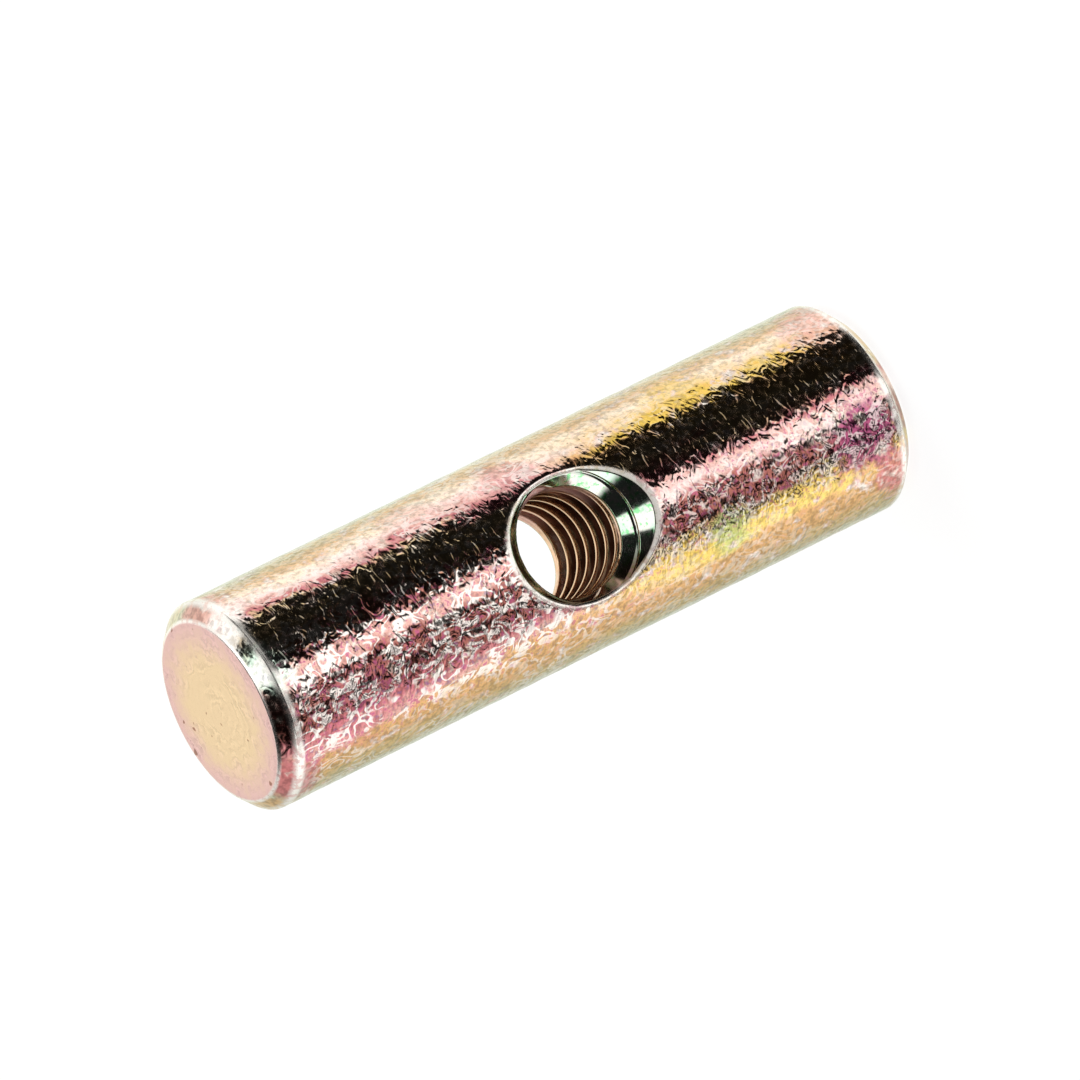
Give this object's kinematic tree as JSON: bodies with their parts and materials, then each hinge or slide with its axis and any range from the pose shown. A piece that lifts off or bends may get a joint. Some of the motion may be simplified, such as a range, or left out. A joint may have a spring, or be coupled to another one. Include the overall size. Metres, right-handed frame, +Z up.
{
  "type": "barrel nut",
  "caption": "Round steel cross dowel with chamfered ends and a countersunk, threaded hole across its middle, for bolting furniture panels together.",
  "frame": {"origin": "centre of the lower end face, where the barrel stands", "axes": "+Z up along the barrel; the threaded hole crosses it along Y at mid-length"},
  "size_m": [0.01, 0.01, 0.035],
  "materials": {
    "yellow_zinc_steel": "yellow chromate over zinc plating: glossy, with a fine tumbled texture and pink, gold and green tints"
  },
  "bodies": {
    "root": {"barrel_nut": "yellow_zinc_steel"}
  },
  "joints": []
}
